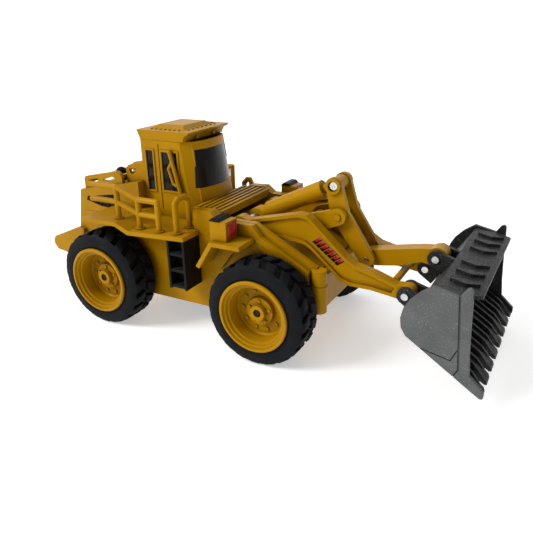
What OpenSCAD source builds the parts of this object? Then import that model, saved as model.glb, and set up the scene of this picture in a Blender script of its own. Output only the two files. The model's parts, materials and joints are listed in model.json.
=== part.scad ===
// Toy front loader: rolling chassis, cab, two lift arms, Z-bar linkage and tilting bucket.
// X points forward, Y to the machine's left and Z up, with the tyres standing on Z = 0.
// Shapes are drawn from the front axle (X = 0) and from the top of the deck (Z = 0), then placed.

/* [Wheels and axles] */
// Distance between the front and rear axles
wheelbase = 106.5; // [96:0.5:130]
// Tyre diameter over the lugs
tyre_d = 58; // [50:0.5:66]
// Tyre width
tyre_w = 20.5; // [17:0.5:23]
// Rim diameter over the outer lip
rim_d = 40; // [34:0.5:42]
// Overall width over the rims of one axle
track_w = 115; // [108:1:136]
// Axle rod diameter
axle_d = 3; // [2.4:0.1:3.6]
// Radial running clearance of axles and hinge pins
run_gap = 0.05; // [0.02:0.01:0.1]

/* [Body] */
// Height of the chassis floor above the ground
chassis_clearance = 16; // [14:0.5:20]
// Width of the chassis tray
chassis_w = 68.4; // [60:0.2:70]
// Wall thickness of the moulded body parts
wall = 2; // [1.6:0.1:2.6]
// Space between the top of the tyres and the top of the deck
deck_gap = 4.7; // [4.5:0.1:8]
// Width of the cab at its side walls
cab_w = 40; // [36:0.5:44]
// Height of the cab walls above the deck
cab_h = 45; // [38:0.5:54]
// Width of the engine hood
hood_w = 52; // [46:0.5:56]
// Diameter of the handrail tubes
rail_d = 3.2; // [2.4:0.1:3.6]

/* [Lift arms and bucket] */
// Distance between the centres of the two lift arms
arm_span = 38.8; // [36:0.2:42]
// Thickness of each lift arm
arm_t = 6.5; // [5.5:0.1:7]
// Diameter of the hinge pins
pin_d = 3; // [2.4:0.1:3.4]
// Outside width of the bucket
bucket_w = 97.2; // [88:0.2:110]
// Number of bucket teeth
tooth_count = 8; // [5:1:9]
// Angle of the bucket floor below level, arms down
bucket_rest_tilt = 33.6; // [20:0.1:36]

/* [Hidden] */
$fn = 48;
tyre_r = tyre_d / 2;
rim_r = rim_d / 2;
axle_r = axle_d / 2;
pin_r = pin_d / 2;
rim_y = track_w / 2;
deck_z = tyre_d + deck_gap;
floor_z = chassis_clearance - deck_z;
plate_z = floor_z - 2;
axle_z = tyre_r - deck_z;
side_y = chassis_w / 2;
rear_x = -wheelbase;

// Hinge axes of the loader linkage as [x, z]
lift_pivot = [-26.9, 2.5];
crank_pivot = [27.1, 10.9];
crank_top = [23, 26.4];
crank_foot = [43, -11.4];
bucket_pivot = [69.6, -20.2];
link_pivot = [78.9, -5.5];

// Cab, hood and deck stations along X
cab_rear_x = rear_x + 11.5;
cab_front_x = -57;
hood_rear_x = rear_x - 38.5;
deck_front_x = -46.6;
deck_t = 2.5;
bumper_rear_x = rear_x - 66;

// Bucket profile in its own level frame, measured from the lower bucket pin
bucket_floor_z = -3;
bucket_back_x = 6.5;
bucket_lip_x = 46;
bucket_tip_x = 54.5;
bucket_top_z = 24;
shell_t = 2.2;
bucket_side_t = 2.6;

// The bounding box is centred on X = 0
front_reach = bucket_pivot[0] + bucket_tip_x * cos(bucket_rest_tilt)
  + (bucket_floor_z + 1.4) * sin(bucket_rest_tilt);
front_axle_x = -(front_reach + bumper_rear_x) / 2;

// ---------- helpers ----------

// Puts shapes drawn from the front axle and the deck top into the finished frame
module placed() {
  translate([front_axle_x, 0, deck_z])
    children();
}

// Extrudes an X-Z outline along Y between two stations
module slab(y_low, y_high) {
  translate([0, y_high, 0])
    rotate([90, 0, 0])
      linear_extrude(height = y_high - y_low)
        children();
}

// Keeps a shape on the right side (side = -1) or mirrors it to the left (side = 1)
module on_side(side) {
  if (side > 0) mirror([0, 1, 0]) children();
  else children();
}

// Cylinder along Y at an [x, z] point
module pin_y(point, r, y_low, y_high) {
  translate([point[0], y_high, point[1]])
    rotate([90, 0, 0])
      cylinder(r = r, h = y_high - y_low);
}

// Flat bar with round ends of two radii between two [x, z] points
module bar_y(p, q, rp, rq, y_low, y_high) {
  span = norm(q - p);
  turn = atan2(q[1] - p[1], q[0] - p[0]);
  lean = acos((rp - rq) / span);
  near = rp - 0.05;
  far = rq - 0.05;
  pin_y(p, rp, y_low, y_high);
  pin_y(q, rq, y_low, y_high);
  slab(y_low, y_high) polygon([
    p + polar(near, turn + lean), q + polar(far, turn + lean),
    q + polar(far, turn - lean), p + polar(near, turn - lean)
  ]);
}

// Round tube through a list of points with a slightly larger ball at every bend
module tube_run(points, r) {
  for (i = [0 : len(points) - 2]) {
    step = points[i + 1] - points[i];
    translate(points[i])
      rotate([0, acos(step[2] / norm(step)), atan2(step[1], step[0])])
        cylinder(r = r, h = norm(step), $fn = 32);
    if (i > 0) translate(points[i]) sphere(r = r * 1.06, $fn = 32);
  }
}

// Point on a unit circle at an angle
function polar(r, a) = [r * cos(a), r * sin(a)];

// ---------- chassis ----------

front_wall_x = 27;
nose_z = -36.7;
motor_x = rear_x;

tray_step_x = rear_x - 14;

// Plan of the tray: narrow under the hood, wide from the rear wheels forward
module tray_plan(inset) {
  wide = side_y - inset;
  narrow = hood_w / 2 - inset;
  step = tray_step_x + inset;
  translate([0, 0, -80]) linear_extrude(height = 90) polygon([
    [hood_rear_x - 5, -narrow], [step, -narrow], [step, -wide], [30, -wide],
    [30, wide], [step, wide], [step, narrow], [hood_rear_x - 5, narrow]
  ]);
}

// Open tray with a raised nose; both axles run in its side walls
module chassis_pan() {
  color("goldenrod") placed() difference() {
    intersection() {
      slab(-side_y, side_y) polygon([
        [hood_rear_x + 2, floor_z + 14], [hood_rear_x + 14, floor_z], [-6, floor_z],
        [20, nose_z], [20, -18], [-8, -deck_t], [hood_rear_x + 2, -deck_t]
      ]);
      tray_plan(0);
    }
    intersection() {
      slab(-side_y + wall, side_y - wall) polygon([
        [hood_rear_x + 2 + wall, floor_z + 15], [hood_rear_x + 14 + wall, floor_z + wall],
        [-6, floor_z + wall], [20 - wall, nose_z + wall], [20 - wall, 1], [hood_rear_x + 2 + wall, 1]
      ]);
      tray_plan(wall);
    }
    pin_y([0, axle_z], axle_r + run_gap, -side_y - 1, side_y + 1);
    pin_y([rear_x, axle_z], axle_r + run_gap, -side_y - 1, side_y + 1);
  }
}

base_front_x = -14;
base_rear_x = rear_x + 14;
base_w = 52;
screw_head_r = 2.4;
screw_head_t = 1.2;

// Screw positions on the underside as [x, y]
function screw_spots() = [for (x = [base_rear_x + 7, base_front_x - 7], y = [-20, 20]) [x, y]];

// Flat cover screwed under the tray; its lower face is the mounting face
module base_plate() {
  color("dimgray") placed() difference() {
    translate([base_rear_x, -base_w / 2, plate_z])
      cube([base_front_x - base_rear_x, base_w, floor_z - plate_z]);
    for (spot = screw_spots())
      translate([spot[0], spot[1], plate_z - 1])
        cylinder(r = screw_head_r, h = screw_head_t + 1);
  }
}

// Cross-head screws sunk in the base plate
module case_screws() {
  color("silver") placed() for (spot = screw_spots())
    translate([spot[0], spot[1], plate_z + 0.2])
      difference() {
        cylinder(r = screw_head_r - 0.15, h = screw_head_t - 0.2);
        for (turn = [0, 90])
          rotate(turn) translate([-1.4, -0.25, -1]) cube([2.8, 0.5, 1.6]);
      }
}

post_x = 25.4;
post_y = 30;
cheek_y = 27;
cheek_out_y = side_y - 0.2;

// Line where the cheeks stand on the chassis tray
seat_points = [[20, nose_z], [20, -18], [-8, -deck_t], [-50, -deck_t]];

// Side outline of one cheek: tall at the arm pivot, sloping down to the nose
module cheek_outline() {
  polygon(concat([[-50, 11], [-38.5, 11.6], [-33.5, 7.6], [-12, 7.6], [24, -11.7], [24, -28]], seat_points));
}

// Two cheeks that carry the arm pivot, the nose wall and two round corner posts
module front_frame() {
  color("gold") placed() difference() {
    union() {
      for (side = [-1, 1]) on_side(side) {
        slab(-cheek_y - 3.2, -cheek_y) cheek_outline();
        slab(-cheek_out_y, -cheek_y - 3) polygon(concat(
          [[-49.8, 10.8], [-38.6, 11.4], [-33.6, 7.4], [-12, 7.4], [-7, 1.3], [21, -13.9], [21, -28]],
          seat_points
        ));
        translate([post_x, -post_y, -36.2]) cylinder(r = 4.4, h = 15.2);
        translate([post_x, -post_y, -22]) cylinder(r = 4, h = 9.6);
        translate([-20, -arm_out_y, -4]) cube([8, arm_t, 1.5]);
      }
      translate([20, -cheek_y - 0.5, -36.2]) cube([front_wall_x - 20, 2 * cheek_y + 1, 18.6]);
      slab(-cheek_y - 0.5, cheek_y + 0.5)
        polygon([
          [-49.9, -5.4], [-8, -5.4], [17.5, -19.1], [17.5, -16.5], [20, -17.9], [20, -19], [21.5, -19],
          [21.5, -16.8], [-7.4, -3.6], [-49.9, -3.6]
        ]);
    }
    pin_y(lift_pivot, pin_r + 0.5, -side_y - 1, side_y + 1);
  }
}

// Steel shaft that the arms and the tilt cylinder hinge on
module arm_pivot_shaft() {
  color("silver") placed() pin_y(lift_pivot, pin_r + 0.5, -side_y + 0.2, side_y - 0.2);
}

// ---------- deck, covers and fenders ----------

// Half width of the deck at a station along X
deck_half_front = 49.2;
deck_half_mid = 53.3;
deck_half_rear = 55;
step_front_x = rear_x + 25;
step_rear_x = rear_x + 16.5;
step_h = 4.1;
deck_rear_x = rear_x - 8;

// Side outline of the deck with its step
module deck_outline() {
  polygon([
    [deck_front_x, 0], [step_front_x, 0], [step_rear_x, step_h], [deck_rear_x, step_h],
    [deck_rear_x - 6, step_h - 3], [deck_rear_x - 6, step_h - 3 - deck_t],
    [deck_rear_x - 1, step_h - deck_t], [step_rear_x - 1, step_h - deck_t],
    [step_front_x - 1, -deck_t], [deck_front_x, -deck_t]
  ]);
}

// Running board on both sides, stepping up over the rear tyres
module deck() {
  color("gold") placed() difference() {
    intersection() {
      slab(-60, 60) deck_outline();
      translate([0, 0, -10]) linear_extrude(height = 20) polygon([
        [deck_front_x, -deck_half_front], [step_front_x, -deck_half_mid],
        [deck_rear_x, -deck_half_rear], [deck_rear_x - 6, -48],
        [deck_rear_x - 6, 48], [deck_rear_x, deck_half_rear],
        [step_front_x, deck_half_mid], [deck_front_x, deck_half_front]
      ]);
    }
    translate([cab_front_x - 60, -cab_w / 2 + 4, -10]) cube([52, cab_w - 8, 20]);
    translate([hood_rear_x, -hood_w / 2, -10])
      cube([cab_rear_x - hood_rear_x, hood_w, 20]);
    translate([-50.05, -side_y, -10]) cube([10, chassis_w, 20]);
  }
}

cover_rear_x = -50;
cover_front_x = -35;
rib_count = 5;

// Cover in front of the cab with cross ribs, between the two cheeks
module walkway_cover() {
  color("gold") placed() difference() {
    union() {
      translate([cover_rear_x - 4.5, -cheek_y, 6]) cube([cover_front_x - cover_rear_x + 4.5, 2 * cheek_y, 4.4]);
      for (i = [0 : rib_count - 1])
        translate([cover_rear_x - 2.5 + i * 3.4, -cheek_y + 1, 10.4]) cube([1.5, 2 * cheek_y - 2, 0.8]);
    }
    cab_solid(-0.1);
  }
}

fender_in_y = 35;
fender_out_y = 50;
fender_t = 2.3;

// Angular mudguard over the front tyre with a raked rear flap and a short front lip
module fender(side) {
  color("gold") placed() on_side(side) {
    slab(-fender_out_y, -side_y) polygon([
      [-38.6, -14.5], [-29, 0.5], [-11, 0.5], [-10.2, -1.6], [-12.5, -2],
      [-13, 0.5 - fender_t], [-27.6, 0.5 - fender_t], [-36.5, -15.6]
    ]);
    slab(-side_y - 2, -side_y) polygon([
      [-37.2, -15.4], [-27.6, 0.4 - fender_t], [-13, 0.4 - fender_t], [-13, -4],
      [-24, -10], [-31.5, -20]
    ]);
  }
}
module front_fender_right() { fender(-1); }
module front_fender_left() { fender(1); }

// ---------- engine hood and rear end ----------

hood_front_z = 20.4;
hood_rear_z = 11;
vent_depth = 1.2;

// Height of the sloping hood top at a station along X
function hood_top(x) = hood_rear_z + (x - (hood_rear_x + 1.5))
  * (hood_front_z - hood_rear_z) / (cab_rear_x - hood_rear_x - 1.5);

// Side outline of the vent recess
module vent_outline(inset) {
  x_rear = hood_rear_x + 6 + inset;
  x_front = cab_rear_x - 17 - inset;
  polygon([
    [x_rear, 4.4 + inset], [x_rear + 1, 7 - inset], [x_front, 11 - inset], [x_front, 1 + inset],
    [x_rear + 12, 1.6 + inset]
  ]);
}

// Hollow hood shell that slopes down to the rear
module engine_hood() {
  color("gold") placed() difference() {
    slab(-hood_w / 2, hood_w / 2) polygon([
      [hood_rear_x - 3.5, -15], [hood_rear_x + 1.5, hood_rear_z],
      [cab_rear_x, hood_front_z], [cab_rear_x, -deck_t], [hood_rear_x + 2, -deck_t], [hood_rear_x + 2, -15]
    ]);
    slab(-hood_w / 2 + wall, hood_w / 2 - wall) polygon([
      [hood_rear_x + 2, -4], [hood_rear_x + 2 + wall, hood_rear_z - wall],
      [cab_rear_x - wall, hood_front_z - wall - 1], [cab_rear_x - wall, -4]
    ]);
    for (side = [-1, 1]) on_side(side) {
      slab(-hood_w / 2 - 1, -hood_w / 2 + vent_depth) vent_outline(0);
      for (i = [0 : 2])
        slab(-hood_w / 2 - 1, -hood_w / 2 + 0.6)
          translate([hood_rear_x + 4, -3.2 - i * 3]) square([22, 0.9]);
    }
  }
}

// Dark louvred inserts in the hood sides
module side_vents() {
  color("black") placed() for (side = [-1, 1]) on_side(side) {
    slab(-hood_w / 2 + 0.5, -hood_w / 2 + vent_depth) vent_outline(0.1);
    intersection() {
      slab(-hood_w / 2 + 0.1, -hood_w / 2 + 0.5) vent_outline(0.4);
      for (i = [0 : 8])
        translate([hood_rear_x + 8 + i * 3, -hood_w / 2, 0]) cube([1.4, 1, 14]);
    }
  }
}

guard_h = 8;
guard_w = 48;

// Guard rail around the hood top: two side plates with small openings, joined by cross bars
module hood_guard() {
  color("gold") placed() {
    x_rear = hood_rear_x + 4;
    x_front = cab_rear_x - 14;
    for (side = [-1, 1]) on_side(side) difference() {
      slab(-guard_w / 2, -guard_w / 2 + 2.2) polygon([
        [x_rear, hood_top(x_rear)], [x_rear, hood_top(x_rear) + guard_h - 2],
        [x_rear + 0.6, hood_top(x_rear) + guard_h - 0.6], [x_rear + 2, hood_top(x_rear) + guard_h],
        [x_front - 4, hood_top(x_front) + guard_h - 0.8], [x_front - 1.4, hood_top(x_front) + guard_h - 2],
        [x_front, hood_top(x_front) + guard_h - 4.4], [x_front, hood_top(x_front)]
      ]);
      slab(-guard_w / 2 - 1, -guard_w / 2 + 3) {
        polygon([
          [x_rear + 3.6, hood_top(x_rear + 3.6) + guard_h - 3.2], [x_rear + 4.6, hood_top(x_rear + 4.6) + 1.2],
          [x_rear + 8, hood_top(x_rear + 8) + 1.2], [x_rear + 12.4, hood_top(x_rear + 12.4) + guard_h - 3.6],
          [x_rear + 11.4, hood_top(x_rear + 11.4) + guard_h - 2.8]
        ]);
        polygon([
          [x_rear + 15, hood_top(x_rear + 15) + guard_h - 4.4], [x_front - 8, hood_top(x_front - 8) + guard_h - 3],
          [x_front - 6, hood_top(x_front - 6) + guard_h - 4.6], [x_front - 8, hood_top(x_front - 8) + guard_h - 5.8]
        ]);
      }
    }
    for (x = [x_rear, x_front - 2.4])
      translate([x, -guard_w / 2 + 2.2, hood_top(x + 2.4) + guard_h - 5.2])
        cube([2.2, guard_w - 4.4, 2.2]);
  }
}

// Upright frame behind the cab with a window in each side
module intake_shield() {
  color("gold") placed() {
    x_front = cab_rear_x;
    x_rear = cab_rear_x - 13.5;
    base = hood_top(x_rear);
    for (side = [-1, 1]) on_side(side) difference() {
      slab(-cab_w / 2, -cab_w / 2 + 2) polygon([
        [x_rear, base], [x_rear, base + 8], [x_rear + 1.4, base + 10.4], [x_rear + 4, base + 11.6],
        [x_front, hood_top(x_front) + 11.2], [x_front, hood_top(x_front)]
      ]);
      slab(-cab_w / 2 - 1, -cab_w / 2 + 3) polygon([
        [x_rear + 2.4, base + 8.6], [x_rear + 2.8, base + 6.4], [x_rear + 4.4, base + 5.2],
        [x_rear + 7.4, base + 7.2], [x_rear + 7.6, base + 9]
      ]);
    }
    translate([x_rear + 3, -cab_w / 2 + 2, base + 9.2]) cube([3, cab_w - 4, 1.8]);
  }
}

cleaner_x = cab_rear_x - 27;
cleaner_r = 3.6;

// Domed air cleaner that stands on the sloping hood
module air_cleaner() {
  color("black") placed() difference() {
    translate([cleaner_x, -10, hood_top(cleaner_x) - 2]) {
      cylinder(r = cleaner_r, h = 7.4);
      translate([0, 0, 7.4]) intersection() {
        sphere(r = cleaner_r);
        translate([0, 0, -0.1]) cylinder(r = cleaner_r + 1, h = 6);
      }
    }
    slab(-30, 30) polygon([
      [hood_rear_x, hood_top(hood_rear_x)], [cab_rear_x, hood_top(cab_rear_x)],
      [cab_rear_x, hood_top(hood_rear_x) - 10], [hood_rear_x, hood_top(hood_rear_x) - 10]
    ]);
  }
}

// Slatted radiator grille on the back of the hood
module rear_grille() {
  color("black") placed() translate([hood_rear_x - 3.5, 0, -15])
    rotate([0, atan2(5, 26), 0]) {
      translate([-1.1, -19, 3]) cube([1, 38, 20]);
      for (i = [0 : 6]) translate([-1.9, -18, 4 + i * 2.7]) cube([0.9, 36, 1.2]);
    }
}

// Counterweight that reaches back between and behind the rear tyres
module rear_bumper() {
  color("gold") placed() difference() {
    slab(-29, 29) union() {
      polygon([
        [hood_rear_x + 2, -15.1], [hood_rear_x - 4.5, -15.1], [bumper_rear_x + 5, -23],
        [bumper_rear_x, -27.5], [bumper_rear_x + 2.5, -33], [hood_rear_x + 2, -37]
      ]);
      translate([bumper_rear_x + 5, -28]) circle(r = 5);
    }
    for (side = [-1, 1])
      translate([bumper_rear_x - 1, side * 20 - 5, -29.5]) cube([2, 10, 3]);
  }
}

// ---------- cab ----------

cab_wall = 1.8;
cab_lean = 8.5;
glass_bow_r = 34;
cab_corner_x = cab_front_x - 6;

// Solid cab body, smaller on every side by inset: upright at the back, leaning and bowed at the front
module cab_solid(inset) {
  half = cab_w / 2 - inset;
  intersection() {
    translate([cab_rear_x + inset, -half, 0]) cube([cab_front_x - cab_rear_x + 22, 2 * half, cab_h + 1]);
    translate([cab_front_x, 0, 16]) rotate([0, -cab_lean, 0]) translate([0, 0, -30])
      linear_extrude(height = 90) union() {
        polygon([
          [-60, -half], [-5.5, -half], [-inset, -half + 3.5], [-inset, half - 3.5], [-5.5, half], [-60, half]
        ]);
        intersection() {
          translate([5 - glass_bow_r - inset, 0]) circle(r = glass_bow_r);
          translate([-8, -half + 3.5]) square([16, 2 * half - 7]);
        }
      }
    translate([-200, -60, 0]) cube([300, 120, cab_h]);
  }
}

// Side window openings as [x, low z, width, height]
door_window = [cab_front_x - 23, 16, 11, 22.6];
rear_window = [cab_rear_x + 3.6, 15.4, 5, 23.6];

// Outline of one side window, grown by inset
module window_outline(spec, grow) {
  translate([spec[0] - grow, spec[1] - grow]) square([spec[2] + 2 * grow, spec[3] + 2 * grow]);
}

// Windshield opening seen from the front
module windshield_outline(grow) {
  polygon([
    [-17.4 - grow, 18.6 - grow], [17.4 + grow, 18.6 - grow],
    [15.8 + grow, 40.4 + grow], [-15.8 - grow, 40.4 + grow]
  ]);
}

// Pushes a front outline through the cab along X
module front_cut(x_low, x_high) {
  translate([x_low, 0, 0]) rotate([90, 0, 90]) linear_extrude(height = x_high - x_low) children();
}

// Cab shell with openings for the glazing, a door seam and two ribs on each corner post
module cab_shell() {
  color("gold") placed() difference() {
    union() {
      cab_solid(0);
      for (side = [-1, 1]) on_side(side) {
        slab(-cab_w / 2 - 0.5, -cab_w / 2 + 0.5) difference() {
          window_outline(door_window, 1.3);
          window_outline(door_window, 0);
        }
        slab(-cab_w / 2 - 0.5, -cab_w / 2 + 0.5) difference() {
          window_outline(rear_window, 1.1);
          window_outline(rear_window, 0);
        }
      }
    }
    difference() {
      cab_solid(cab_wall);
      translate([-200, -60, -1]) cube([300, 120, 1 + cab_wall]);
    }
    slab(-cab_w, cab_w) polygon([
      [step_front_x, 0], [step_rear_x, step_h], [deck_rear_x, step_h], [deck_rear_x, -9], [step_front_x, -9]
    ]);
    front_cut(cab_front_x - 12, cab_front_x + 12) windshield_outline(0);
    slab(-cab_w, cab_w) window_outline(door_window, 0);
    slab(-cab_w, cab_w) window_outline(rear_window, 0);
    for (side = [-1, 1]) on_side(side)
      slab(-cab_w / 2 - 1, -cab_w / 2 + 0.6)
        translate([cab_rear_x + 12.6, 4]) square([0.6, cab_h - 6]);
  }
}

// Tinted windshield that fills its opening
module windshield() {
  color("black") placed() intersection() {
    difference() {
      cab_solid(0.3);
      cab_solid(0.3 + 1.2);
    }
    front_cut(cab_front_x - 12, cab_front_x + 12) windshield_outline(0);
  }
}

// Tinted side windows
module cab_windows() {
  color("black") placed() for (side = [-1, 1]) on_side(side)
    for (spec = [door_window, rear_window])
      slab(-cab_w / 2 + 0.2, -cab_w / 2 + 1.4) window_outline(spec, 0);
}

roof_h = 5.8;
roof_rear_x = cab_rear_x - 1.3;
roof_front_x = cab_front_x - 2;

// Roof with flared cornice, front visor, raised centre panel and rows of rivets
module cab_roof() {
  color("gold") placed() {
    top_z = cab_h + roof_h;
    intersection() {
      slab(-30, 30) polygon([
        [roof_rear_x + 1.6, cab_h], [roof_rear_x, top_z], [roof_front_x, top_z],
        [roof_front_x - 0.8, top_z - 1.2], [roof_front_x - 3.4, top_z - 2.6], [roof_front_x - 4.6, cab_h + 1],
        [roof_front_x - 4.8, cab_h]
      ]);
      translate([-200, 0, 0]) rotate([90, 0, 90]) linear_extrude(height = 300) polygon([
        [-cab_w / 2 - 0.2, cab_h], [-cab_w / 2 - 0.4, cab_h + 1.2], [-cab_w / 2 - 1.1, top_z],
        [cab_w / 2 + 1.1, top_z], [cab_w / 2 + 0.4, cab_h + 1.2], [cab_w / 2 + 0.2, cab_h]
      ]);
    }
    panel_rear = roof_rear_x + 6;
    panel_front = roof_front_x - 7.5;
    intersection() {
      slab(-30, 30) polygon([
        [panel_rear, top_z], [panel_rear + 3, top_z + 2.2],
        [panel_front - 3, top_z + 2.2], [panel_front, top_z]
      ]);
      translate([-200, 0, 0]) rotate([90, 0, 90]) linear_extrude(height = 300) polygon([
        [-cab_w / 2 + 5, top_z], [-cab_w / 2 + 9, top_z + 2.2],
        [cab_w / 2 - 9, top_z + 2.2], [cab_w / 2 - 5, top_z]
      ]);
    }
    for (side = [-1, 1], i = [0 : 6])
      translate([panel_rear + 2 + i * (panel_front - panel_rear - 4) / 6, side * (cab_w / 2 - 3.2), top_z])
        cylinder(r = 0.7, h = 0.6, $fn = 16);
    for (i = [-3 : 3])
      translate([panel_front + 2.2, i * 4.4, top_z]) cylinder(r = 0.7, h = 0.6, $fn = 16);
    for (y = [-8.5, 8.5])
      translate([roof_front_x - 5, y, cab_h + 1.6]) rotate([0, 90, 0]) cylinder(r = 1, h = 2.2, $fn = 24);
  }
}

// Long handle with a wider middle loop on each front corner post
module grab_handles() {
  color("gold") placed() for (side = [-1, 1]) on_side(side) {
    y = -cab_w / 2 - 2.2;
    top = [cab_front_x - 15.5, y, 39.2];
    foot = [cab_front_x - 9.4, y, 15];
    tube_run([
      [top[0], -cab_w / 2 - 0.5, top[2]], top, foot, [foot[0], -cab_w / 2, foot[2]]
    ], 1.15);
    tube_run([
      [cab_front_x - 14.6, y, 33], [cab_front_x - 16.8, y, 29.6], [cab_front_x - 14, y, 21],
      [cab_front_x - 11.4, y, 19.8]
    ], 1);
  }
}

// ---------- rails and ladders ----------

rail_r = rail_d / 2;
rail_y = -46.5;

// Round foot of a rail post
module rail_foot(x, y, z) {
  translate([x, y, z]) cylinder(r = rail_r + 1.4, h = 0.9, $fn = 24);
}

// Two-bar handrail along the edge of the deck; the left one stops short of the door
module handrail(side) {
  color("gold") placed() on_side(side) {
    front_x = side < 0 ? -64.5 : -74;
    low_x = step_front_x + rail_r + 1.8;
    high_x = step_rear_x - rail_r - 1.6;
    end_x = deck_rear_x + 1.5;
    tube_run([
      [end_x, rail_y, 22.6], [high_x, rail_y, 22.6], [low_x, rail_y, 17], [front_x, rail_y, 17],
      [front_x, rail_y, 0]
    ], rail_r);
    tube_run([
      [end_x, rail_y, 13.9], [high_x, rail_y, 13.9], [low_x, rail_y, 8.6], [front_x, rail_y, 8.6]
    ], rail_r);
    tube_run([[high_x, rail_y, 22.6], [high_x, rail_y, step_h]], rail_r);
    tube_run([[low_x, rail_y, 17], [low_x, rail_y, 0.5]], rail_r);
    rail_foot(front_x, rail_y, 0);
    rail_foot(low_x, rail_y, 0);
    rail_foot(high_x, rail_y, step_h);
  }
}
module handrail_right() { handrail(-1); }
module handrail_left() { handrail(1); }

// Hoop across the front of the right-hand deck
module front_rail_right() {
  color("gold") placed() {
    x = -53.7;
    tube_run([
      [x, -44.8, 0], [x, -44.8, 16.5], [x, -42, 18.9], [x, -35.5, 18.9], [x, -32.7, 17], [x, -32.7, 0]
    ], rail_r);
    rail_foot(x, -44.8, 0);
    rail_foot(x, -32.7, 0);
  }
}

// Low hooked grab post by the left-hand door
module front_rail_left() {
  color("gold") placed() {
    tube_run([
      [-60, 38.5, 0], [-60, 38.5, 9], [-57.5, 38.5, 11.6], [-55.5, 38.5, 11.6], [-54.4, 38.5, 9.5], [-54.4, 38.5, 0]
    ], rail_r);
    rail_foot(-60, 38.5, 0);
    rail_foot(-54.4, 38.5, 0);
  }
}

ladder_low_z = -31.6;
ladder_rear_x = -58.4;
ladder_front_x = -46.6;
ladder_out_y = 49;

// Three-step ladder hung under the deck
module ladder(side) {
  color([0.12, 0.12, 0.13]) placed() on_side(side) {
    inner_y = -ladder_out_y + 7.4;
    slab(-ladder_out_y, inner_y)
      translate([ladder_rear_x, ladder_low_z]) square([1.4, -deck_t - ladder_low_z]);
    slab(-ladder_out_y, -side_y)
      translate([ladder_front_x - 1.4, ladder_low_z]) square([1.4, -deck_t - ladder_low_z]);
    slab(inner_y - 1.2, inner_y)
      translate([ladder_rear_x, ladder_low_z]) square([ladder_front_x - ladder_rear_x, -deck_t - ladder_low_z]);
    for (i = [0 : 2])
      translate([ladder_rear_x + 1.4, -ladder_out_y + 0.4, ladder_low_z + 0.6 + i * 9.6])
        cube([ladder_front_x - ladder_rear_x - 2.8, 5.9, 1.6]);
    slab(inner_y, -side_y) translate([ladder_rear_x + 2, -8]) square([7.8, 5.5]);
  }
}
module ladder_right() { ladder(-1); }
module ladder_left() { ladder(1); }

// ---------- headlights ----------

lamp_x = -20.4;
lamp_in_y = 35.4;
lamp_out_y = 46.4;
lamp_low_z = 0.6;
lamp_h = 10.6;

// Lamp bucket that stands on the front fender
module headlight_housing(side) {
  color("gold") placed() on_side(side) difference() {
    translate([lamp_x - 10, -lamp_out_y, lamp_low_z]) cube([10, lamp_out_y - lamp_in_y, lamp_h]);
    translate([lamp_x - 2, -lamp_out_y + 1.1, lamp_low_z + 1.3])
      cube([3, lamp_out_y - lamp_in_y - 2.2, lamp_h - 2.6]);
  }
}
module headlight_housing_right() { headlight_housing(-1); }
module headlight_housing_left() { headlight_housing(1); }

// Dark visor along the top of the lamp
module headlight_cap(side) {
  color("black") placed() on_side(side) slab(-lamp_out_y - 0.4, -lamp_in_y + 0.4) polygon([
    [lamp_x - 10.4, lamp_low_z + lamp_h], [lamp_x - 8.5, lamp_low_z + lamp_h + 1.7],
    [lamp_x - 5, lamp_low_z + lamp_h + 1.7], [lamp_x - 3.6, lamp_low_z + lamp_h]
  ]);
}
module headlight_cap_right() { headlight_cap(-1); }
module headlight_cap_left() { headlight_cap(1); }

// Red lens seated in the lamp
module headlight_lens(side) {
  color("red") placed() on_side(side)
    translate([lamp_x - 2, -lamp_out_y + 1.1, lamp_low_z + 1.3])
      cube([2.5, lamp_out_y - lamp_in_y - 2.2, lamp_h - 2.6]);
}
module headlight_lens_right() { headlight_lens(-1); }
module headlight_lens_left() { headlight_lens(1); }

// ---------- friction drive ----------

gear_module = 0.75;
wheel_teeth = 24;
pinion_teeth = 8;
gear_distance = gear_module * (wheel_teeth + pinion_teeth) / 2;
gear_shaft_r = 1;
cluster_at = [rear_x, axle_z] + polar(gear_distance, 45);
flywheel_at = cluster_at + polar(gear_distance, 135);

// Spur gear with straight-sided teeth and some backlash
module gear2d(teeth, turn) {
  pitch_r = gear_module * teeth / 2;
  root_r = pitch_r - 0.85;
  tip_r = pitch_r + 0.6;
  base_a = 0.66 / root_r * 180 / PI;
  tip_a = 0.3 / tip_r * 180 / PI;
  polygon([
    for (i = [0 : teeth - 1], corner = [[root_r, -base_a], [tip_r, -tip_a], [tip_r, tip_a], [root_r, base_a]])
      polar(corner[0], turn + i * 360 / teeth + corner[1])
  ]);
}

// Gear between two Y stations at an [x, z] point, with a hole for its shaft
module gear(at, teeth, turn, y_low, y_high, bore_r) {
  translate([at[0], 0, at[1]]) slab(y_low, y_high) difference() {
    gear2d(teeth, turn);
    circle(r = bore_r);
  }
}

motor_y = 13;

// Two cheeks and a foot that carry the rear axle and the gear shafts
module motor_frame() {
  color("dimgray") placed() difference() {
    union() {
      for (y = [-motor_y - 1.6, motor_y])
        slab(y, y + 1.6) polygon([
          [rear_x - 12, floor_z + wall], [rear_x + 14, floor_z + wall], [rear_x + 14, flywheel_at[1] - 4],
          [rear_x + 6, flywheel_at[1] + 5], [rear_x - 8, flywheel_at[1] + 5], [rear_x - 12, axle_z + 4]
        ]);
      translate([rear_x - 12, -motor_y, floor_z + wall]) cube([26, 2 * motor_y, 1.4]);
    }
    pin_y([rear_x, axle_z], axle_r + run_gap, -20, 20);
    pin_y(cluster_at, gear_shaft_r + run_gap, -20, 20);
    pin_y(flywheel_at, gear_shaft_r + run_gap, -20, 20);
  }
}

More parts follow.
